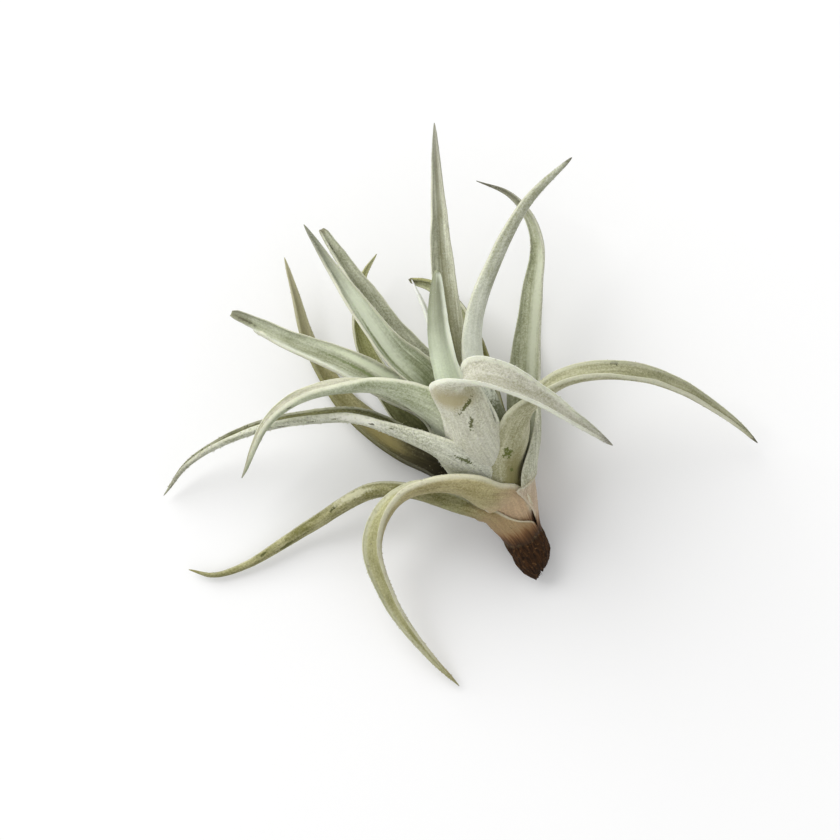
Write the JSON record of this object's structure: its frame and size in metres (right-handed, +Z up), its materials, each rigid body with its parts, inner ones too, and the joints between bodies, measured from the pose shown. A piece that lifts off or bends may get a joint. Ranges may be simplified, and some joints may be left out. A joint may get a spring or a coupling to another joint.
{
  "type": "air plant",
  "caption": "Air plant lying on a surface: short leafy stem with long channelled silvery leaves that arch and curl back.",
  "frame": {"origin": "middle of the plant's bounding box, on the surface that it lies on", "axes": "+Z up from the surface, +X towards the long arching leaf on the right, +Y away from the broken stem end, towards the tall leaf"},
  "size_m": [0.2044, 0.1892, 0.0726],
  "materials": {
    "silver_leaf": "matt grey-green leaf with a fine silvery bloom of scales",
    "olive_leaf": "matt olive-green leaf, the lower and rear leaves with fewer scales",
    "dead_stem": "dry dark brown fibrous stub"
  },
  "bodies": {
    "root": {"stem": "dead_stem", "leaf_front_arch": "silver_leaf", "leaf_right_arch": "silver_leaf", "leaf_left_long": "silver_leaf", "leaf_front_hook": "silver_leaf", "leaf_right_hook": "silver_leaf", "leaf_left_arch": "silver_leaf", "leaf_short": "silver_leaf", "leaf_right_lean": "silver_leaf", "leaf_left_trough": "silver_leaf", "leaf_upper_left": "silver_leaf", "leaf_pale": "silver_leaf", "leaf_tall": "silver_leaf", "leaf_upper_left_back": "silver_leaf", "leaf_rear_tip": "silver_leaf", "leaf_low_left": "olive_leaf", "leaf_low_s": "olive_leaf", "leaf_low_up": "olive_leaf", "leaf_curl_back": "olive_leaf", "leaf_rear_right": "olive_leaf", "leaf_rear": "olive_leaf"}
  },
  "joints": []
}
